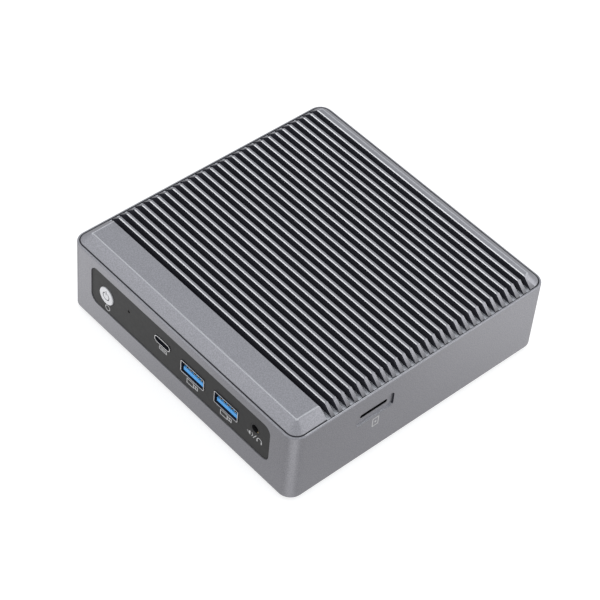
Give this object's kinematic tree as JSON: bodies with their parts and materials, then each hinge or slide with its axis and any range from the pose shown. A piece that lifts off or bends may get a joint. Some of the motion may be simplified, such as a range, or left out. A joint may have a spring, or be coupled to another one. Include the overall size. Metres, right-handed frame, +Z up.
{
  "type": "mini pc",
  "caption": "Square palm-sized fanless computer with a finned metal top, a dark front panel with button and ports, a side card slot and rear sockets.",
  "frame": {"origin": "under the middle of the case, on the surface that the feet stand on", "axes": "+X to the right seen from the front, +Y from the front panel to the rear panel, +Z up"},
  "size_m": [0.127, 0.1272, 0.0388],
  "materials": {
    "case_metal": "bead blasted and anodised grey",
    "panel": "fine matt grain",
    "black_plastic": "matt",
    "foot_rubber": "matt",
    "screw_steel": "blackened",
    "port_steel": "nickel plated sheet",
    "button_metal": "satin",
    "tongue_blue": "moulded",
    "contact_brass": "gold plated",
    "light_pipe": "clear",
    "circuit_board": "solder mask",
    "silicon": "polished",
    "pad": "soft silicone",
    "choke": "pressed ferrite",
    "can_metal": "bright",
    "chip_plastic": "moulded",
    "cell_steel": "satin"
  },
  "bodies": {
    "computer": {"audio_contacts": "contact_brass", "audio_jack": "black_plastic", "board_screws": "screw_steel", "body_shell": "case_metal", "bottom_cover": "black_plastic", "bottom_cover_screws": "screw_steel", "capacitors": "can_metal", "card_reader_base": "black_plastic", "card_reader_contacts": "contact_brass", "card_reader_cover": "port_steel", "cell_holder": "black_plastic", "coin_cell": "cell_steel", "cpu_die": "silicon", "cpu_substrate": "circuit_board", "dc_jack": "black_plastic", "dc_jack_pin": "contact_brass", "front_panel": "panel", "front_usb_left_insert": "tongue_blue", "front_usb_left_shell": "port_steel", "front_usb_right_insert": "tongue_blue", "front_usb_right_shell": "port_steel", "hdmi_left_insert": "black_plastic", "hdmi_left_shell": "port_steel", "hdmi_right_insert": "black_plastic", "hdmi_right_shell": "port_steel", "heatsink_cover": "case_metal", "heatsink_screws": "screw_steel", "lan_contacts": "contact_brass", "lan_insert": "black_plastic", "lan_lights": "light_pipe", "lan_shield": "port_steel", "m2_screws": "screw_steel", "m2_standoffs": "contact_brass", "memory_chips": "chip_plastic", "memory_module": "circuit_board", "memory_socket": "black_plastic", "motherboard": "circuit_board", "power_chokes": "choke", "power_switch": "black_plastic", "rear_panel": "panel", "rear_usb_left_insert": "tongue_blue", "rear_usb_left_shell": "port_steel", "rear_usb_right_insert": "tongue_blue", "rear_usb_right_shell": "port_steel", "reset_switch": "black_plastic", "rubber_feet": "foot_rubber", "ssd_board": "circuit_board", "ssd_chips": "chip_plastic", "ssd_socket": "black_plastic", "thermal_pad": "pad", "usb_c_insert": "black_plastic", "usb_c_shell": "port_steel", "wifi_card": "circuit_board", "wifi_socket": "black_plastic"},
    "power_key": {"power_button": "button_metal", "power_switch_stem": "black_plastic"},
    "reset_key": {"reset_switch_stem": "black_plastic"},
    "card_ejector": {"card_reader_slider": "black_plastic"},
    "left_latch": {"memory_latch_left": "port_steel"},
    "right_latch": {"memory_latch_right": "port_steel"}
  },
  "joints": [
    {"name": "power_button_press", "type": "slide", "parent": "computer", "child": "power_key", "axis": [0, 1, 0], "range_m": [0, 0.0005], "stiffness_N_per_m": 400},
    {"name": "reset_press", "type": "slide", "parent": "computer", "child": "reset_key", "axis": [0, 1, 0], "range_m": [0, 0.00025], "stiffness_N_per_m": 600},
    {"name": "card_ejector_travel", "type": "slide", "parent": "computer", "child": "card_ejector", "axis": [-1, 0, 0], "range_m": [0, 0.004], "stiffness_N_per_m": 100},
    {"name": "left_latch_swing", "type": "hinge", "parent": "computer", "child": "left_latch", "pos_m": [-0.04835, -0.0373, 0.0225], "axis": [0, 0, 1], "range_deg": [0, 6], "stiffness_Nm_per_rad": 0.05},
    {"name": "right_latch_swing", "type": "hinge", "parent": "computer", "child": "right_latch", "pos_m": [0.02435, -0.0373, 0.0225], "axis": [0, 0, -1], "range_deg": [0, 6], "stiffness_Nm_per_rad": 0.05}
  ]
}
